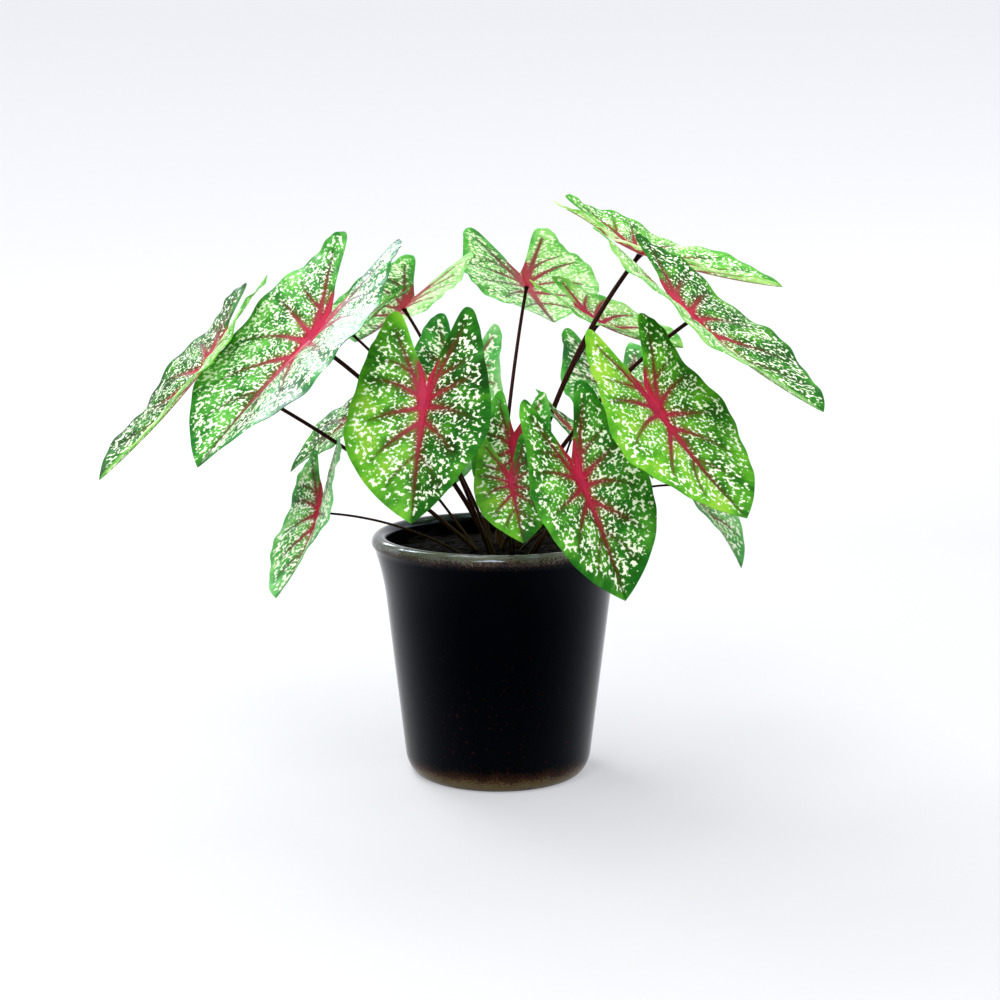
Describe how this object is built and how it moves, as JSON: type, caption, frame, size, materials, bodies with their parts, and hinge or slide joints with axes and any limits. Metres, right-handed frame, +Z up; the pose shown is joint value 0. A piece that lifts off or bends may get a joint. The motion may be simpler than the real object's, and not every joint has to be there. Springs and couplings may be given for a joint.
{
  "type": "caladium plant in a glazed pot",
  "caption": "Potted caladium: arrow-shaped leaves with crimson veins and pale speckles on thin dark petioles, rising from soil in a round, dark glazed pot.",
  "frame": {"origin": "centre of the pot's flat foot, on the surface it stands on", "axes": "+Z up along the pot's axis, +X to the right and +Y away from the viewer, seen from the front"},
  "size_m": [0.4237, 0.3721, 0.3643],
  "materials": {
    "pot_glaze": "glossy blue-black glaze, breaking to olive grey and speckled brown at lip and foot",
    "soil": "matt, crumbly dark potting soil",
    "tuber": "matt brown corky skin",
    "leaf_blade": "thin, satin, slightly translucent green blade with crimson veins and pale speckles",
    "petiole": "smooth dark maroon stalk with a soft shine"
  },
  "bodies": {
    "root": {"pot": "pot_glaze", "soil": "soil", "tuber": "tuber", "blade_far_left": "leaf_blade", "petiole_far_left": "petiole", "blade_high_left": "leaf_blade", "petiole_high_left": "petiole", "blade_front_left": "leaf_blade", "petiole_front_left": "petiole", "blade_back_left": "leaf_blade", "petiole_back_left": "petiole", "blade_left": "leaf_blade", "petiole_left": "petiole", "blade_low_left": "leaf_blade", "petiole_low_left": "petiole", "blade_hanging_left": "leaf_blade", "petiole_hanging_left": "petiole", "blade_inner_left": "leaf_blade", "petiole_inner_left": "petiole", "blade_back": "leaf_blade", "petiole_back": "petiole", "blade_back_right": "leaf_blade", "petiole_back_right": "petiole", "blade_high_right": "leaf_blade", "petiole_high_right": "petiole", "blade_right": "leaf_blade", "petiole_right": "petiole", "blade_front_right": "leaf_blade", "petiole_front_right": "petiole", "blade_front_low": "leaf_blade", "petiole_front_low": "petiole", "blade_small_front": "leaf_blade", "petiole_small_front": "petiole", "blade_small_behind": "leaf_blade", "petiole_small_behind": "petiole", "blade_small_right": "leaf_blade", "petiole_small_right": "petiole", "blade_inner_right": "leaf_blade", "petiole_inner_right": "petiole", "blade_low_right": "leaf_blade", "petiole_low_right": "petiole"}
  },
  "joints": []
}
